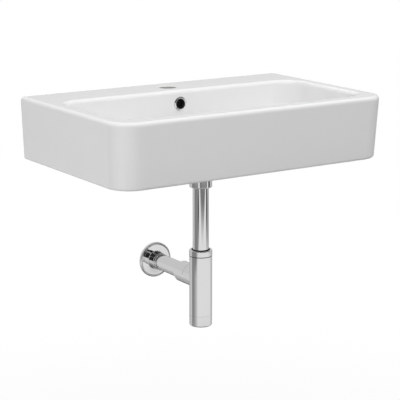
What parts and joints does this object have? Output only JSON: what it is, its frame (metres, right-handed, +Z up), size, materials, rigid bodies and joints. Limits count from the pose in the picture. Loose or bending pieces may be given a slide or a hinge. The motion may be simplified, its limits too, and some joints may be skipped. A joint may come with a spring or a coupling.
{
  "type": "wall hung basin",
  "caption": "White wall hung wash basin with tap hole, overflow and click plug waste, over a chromed bottle trap whose outlet pipe enters the wall through a sliding rosette.",
  "frame": {"origin": "midway between the two wall fixings, on the wall face", "axes": "+X along the wall, +Y into the wall, +Z up; the basin stands at y below zero"},
  "size_m": [0.5994, 0.4475, 0.4615],
  "materials": {
    "glaze": "gloss white glaze",
    "chrome": "polished chrome plate on brass",
    "brass": "turned brass",
    "black_rubber": "matt black rubber",
    "white_plastic": "white moulded plastic",
    "grey_plastic": "grey nylon",
    "steel": "bright zinc plate"
  },
  "bodies": {
    "basin_and_pipes": {"basin": "glaze", "overflow_ring": "chrome", "waste_body": "chrome", "inlet_union_nut": "chrome", "inlet_pipe": "chrome", "trap_inlet_nut": "chrome", "trap_body": "chrome", "outlet_union_nut": "chrome", "outlet_pipe": "chrome", "waste_backnut": "brass", "click_cartridge": "brass", "waste_top_gasket": "black_rubber", "waste_lower_gasket": "black_rubber", "inlet_flat_washer": "black_rubber", "trap_inlet_seal": "black_rubber", "outlet_cone_seal": "black_rubber", "cartridge_bush": "white_plastic", "inlet_slip_ring": "white_plastic", "trap_inlet_slip_ring": "white_plastic", "outlet_slip_ring": "white_plastic", "fixing_sleeves": "white_plastic", "wall_plugs": "grey_plastic", "hanger_bolts": "steel", "fixing_washers": "steel", "fixing_nuts": "steel", "click_spring": "steel"},
    "plug": {"plug_cap": "chrome", "plug_seal": "black_rubber", "plug_stem": "brass"},
    "cup_seal": {"cup_o_ring": "black_rubber"},
    "cup": {"cleaning_cup": "chrome"},
    "rosette": {"wall_rosette": "chrome", "rosette_grip_ring": "black_rubber"}
  },
  "joints": [
    {"name": "plug_press", "type": "slide", "parent": "basin_and_pipes", "child": "plug", "axis": [0, 0, 1], "range_m": [-0.009, 0], "stiffness_N_per_m": 600, "springref_m": 0.006, "deforming": ["click_spring"]},
    {"name": "cup_drop", "type": "slide", "parent": "basin_and_pipes", "child": "cup_seal", "axis": [0, 0, -1], "range_m": [0, 0.006]},
    {"name": "cup_unscrew", "type": "hinge", "parent": "cup_seal", "child": "cup", "pos_m": [0, -0.175, -0.37], "axis": [0, 0, -1], "range_deg": [0, 1440]},
    {"name": "rosette_slide", "type": "slide", "parent": "basin_and_pipes", "child": "rosette", "axis": [0, -1, 0], "range_m": [0, 0.07]}
  ],
  "couplings": [
    {"joint": "cup_drop", "follows": "cup_unscrew", "m_per_rad": 0.00023873}
  ]
}
